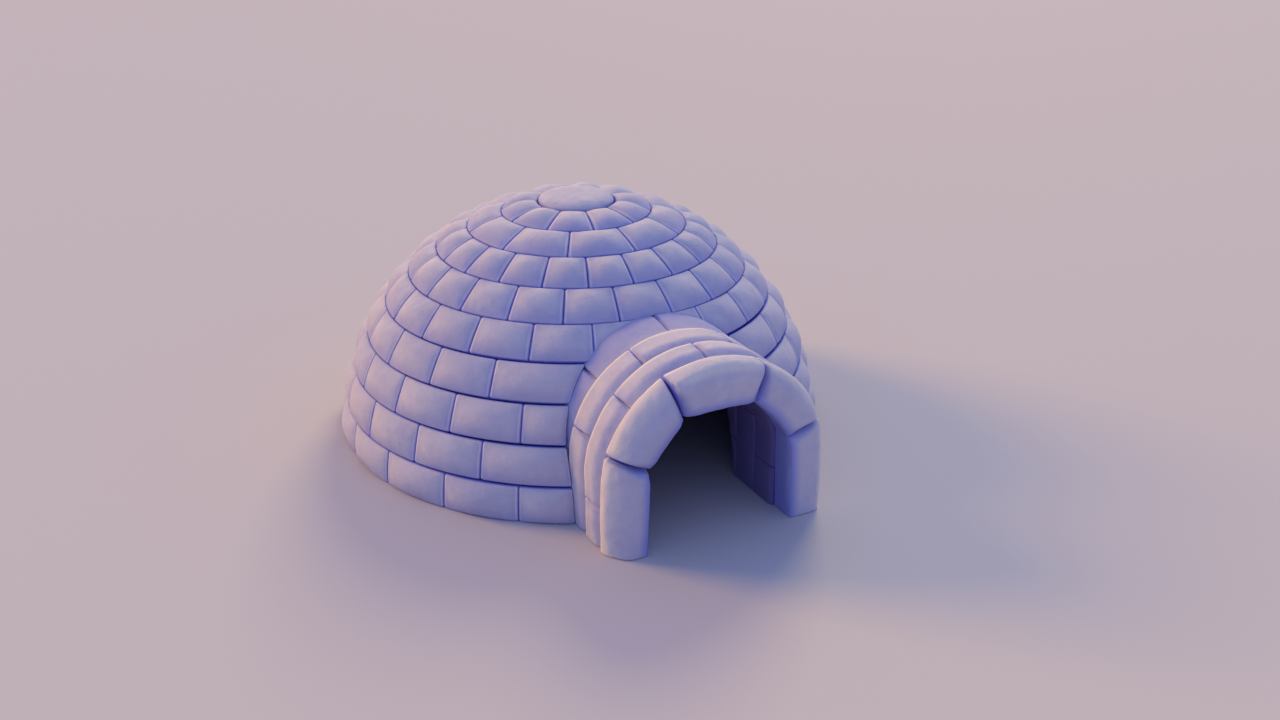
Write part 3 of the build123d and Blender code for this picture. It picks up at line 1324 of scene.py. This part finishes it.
@dataclass(frozen=True)
class PackedSnow:
    """Wind-packed snow, cut into blocks: dusk-tinted, with bluer painted shade in its joints and at worn
    edges, darker painted shade on the inside, and painted highlights on its rims.
    """

    drifted: Colour = colour(204, 199, 215)
    crusted: Colour = colour(188, 184, 208)
    blushed: Colour = colour(206, 194, 205)
    shaded: Colour = colour(108, 120, 212)
    crease_shade: Colour = colour(116, 124, 220)
    inner_shade: Colour = colour(96, 84, 146)
    painted_highlight: Colour = colour(244, 230, 218)
    broad: Cloud = Cloud(2.6, 3.0)
    fine: Cloud = Cloud(14.0, 4.0)
    blush: Cloud = Cloud(1.3, 1.0)
    grain: Cloud = Cloud(330.0)
    crust: Cloud = Cloud(46.0, 5.0)
    shaving: Cloud = Cloud(19.0, 2.0, (1, 1, 9))
    broad_share: float = 0.6
    fine_share: float = 0.4
    drift_band: Band = (0.36, 0.66)
    blush_band: Band = (0.5, 0.75)
    blush_share: float = 0.4
    tone_share: float = 0.28
    highlight_least: float = 0.6
    highlight_fine: float = 0.5
    shade_share: float = 0.75
    crease_shade_share: float = 0.8
    inner_shade_share: float = 0.9
    roughness: float = 0.72
    grain_roughness: float = 0.25
    crust_polish: float = 0.1
    grain_height: float = 0.10
    crust_height: float = 0.55
    shaving_height: float = 0.18
    fine_height: float = 0.5
    bump_strength: float = 0.55
    bump_height: float = 0.010
    specular: float = 0.25
    scattering: float = 0.15
    scatter_radius: Triple = (0.02, 0.024, 0.034)
    scatter_scale: float = 1.0

    def tint(self, board: Board, fine: Wire) -> Wire:
        """Mixes the snow's colour, from its own patches to the painted highlights and painted shade that the
        marks of its blocks carry.

        Args:
            board: the material's board.
            fine: the fine noise.

        Returns:
            The colour.
        """
        patches = board.noise(self.broad) * self.broad_share + fine * self.fine_share
        base = board.mix(patches.clipped(*self.drift_band), self.crusted, self.drifted)
        blush = board.noise(self.blush).clipped(*self.blush_band)
        base = board.mix(blush * self.blush_share, base, self.blushed)
        base = board.mix((board.mark("tone") * 0.5 + 0.5) * self.tone_share, base, self.crusted)
        # painted highlight on the rims
        base = board.mix(board.mark("rim") * (fine * self.highlight_fine + self.highlight_least), base, self.painted_highlight)
        # painted shade: worn edges, front-face joints, opening, jamb, block ends and low halves
        base = board.mix(board.mark("shade") * self.shade_share, base, self.shaded)
        # painted shade deep in the joints' creases
        base = board.mix(board.mark("groove") * self.crease_shade_share, base, self.crease_shade)
        # painted shade of the dim inside
        return board.mix(board.mark("inside") * self.inner_shade_share, base, self.inner_shade)

    def make(self) -> bpy.types.Material:
        """Makes the material.

        Returns:
            The finished snow material.
        """
        board = Board("packed_snow")
        fine = board.noise(self.fine)
        board.feed("Base Color", self.tint(board, fine))
        grain, crust, shaving = [board.noise(cloud) for cloud in (self.grain, self.crust, self.shaving)]
        roughness = self.roughness + grain * self.grain_roughness - crust * self.crust_polish
        board.feed("Roughness", roughness)
        height = grain * self.grain_height + crust * self.crust_height
        height = height + shaving * self.shaving_height + fine * self.fine_height
        bump = {"Strength": self.bump_strength, "Distance": self.bump_height, "Height": height}
        board.feed("Normal", board.node("ShaderNodeBump", {}, bump))
        board.feed("Specular IOR Level", self.specular)
        board.feed("Subsurface Weight", self.scattering)
        board.feed("Subsurface Radius", self.scatter_radius)
        board.feed("Subsurface Scale", self.scatter_scale)
        return board.material


@dataclass(frozen=True)
class Lamp:
    """A soft, distant lamp.

    Its heading is where it hangs, in degrees from the tunnel's direction, positive towards +X. Its height is
    in degrees above the horizon, and its strength in watts to the square metre.
    """

    name: str
    heading: float
    height: float
    strength: float
    tint: Triple
    width: float = 22.0

    def hang(self) -> None:
        """Hangs the lamp."""
        data = bpy.data.lights.new(self.name, "SUN")
        data.angle = math.radians(self.width)
        data.energy = self.strength
        data.color = self.tint
        lamp = add_object(self.name, data)
        lamp.rotation_euler = (math.radians(90 - self.height), 0, math.radians(self.heading))


@dataclass
class Studio:
    """Plain pale floor, soft light and the camera."""

    floor_half: float = 70.0
    floor_drop: float = 0.001
    floor_colour: Colour = colour(194, 189, 198)
    floor_roughness: float = 0.9
    sky_colour: Colour = colour(154, 171, 219)
    sky_strength: float = 1.0
    left_lamp: Lamp = Lamp("left_lamp", -136, 24, 2.35, (1.0, 0.56, 0.08))
    right_lamp: Lamp = Lamp("right_lamp", 140, 34, 1.70, (1.0, 0.78, 0.30))
    camera_place: Triple = (-3.886, -8.702, 4.652)
    camera_heading: float = 26.62
    camera_pitch: float = 23.53
    lens: float = 35.12
    sensor: float = 36.0

    def floor(self) -> None:
        """Lays the floor, which isn't part of the igloo."""
        mesh = bmesh.new()
        place = Matrix.Translation((0, 0, -self.floor_drop))
        bmesh.ops.create_grid(mesh, x_segments=1, y_segments=1, size=self.floor_half, matrix=place)
        board = Board("pale_floor")
        board.feed("Base Color", self.floor_colour)
        board.feed("Roughness", self.floor_roughness)
        ground = add_mesh("floor", mesh, smooth=False)
        ground.data.materials.append(board.material)

    def light(self) -> None:
        """Lights the igloo: a low warm lamp behind its left, a paler one behind its right, and the sky."""
        self.left_lamp.hang()
        self.right_lamp.hang()
        world = bpy.data.worlds.new("sky")
        world.use_nodes = True
        background = world.node_tree.nodes["Background"]
        background.inputs["Color"].default_value = self.sky_colour
        background.inputs["Strength"].default_value = self.sky_strength
        bpy.context.scene.world = world

    def camera(self) -> None:
        """Sets the camera where the photo was taken from."""
        data = bpy.data.cameras.new("camera")
        data.sensor_width = self.sensor
        data.lens = self.lens
        camera = add_object("camera", data)
        camera.location = self.camera_place
        camera.rotation_euler = (math.radians(90 - self.camera_pitch), 0, -math.radians(self.camera_heading))
        bpy.context.scene.camera = camera

    def build(self) -> None:
        """Builds floor, lights and camera."""
        self.floor()
        self.light()
        self.camera()
        bpy.context.scene.view_settings.view_transform = "Standard"


def main() -> None:
    """Builds the igloo's looks in order, and logs how many faces each piece has."""
    logging.basicConfig(level=logging.INFO, format="%(name)s: %(message)s")
    Studio().build()
    snow = PackedSnow().make()
    form = TunnelForm()
    dome = Dome(form)
    dome.build(snow)
    KingBlock(dome).build(snow)
    Tunnel(form, dome).build(snow)


if __name__ == "__main__":
    main()
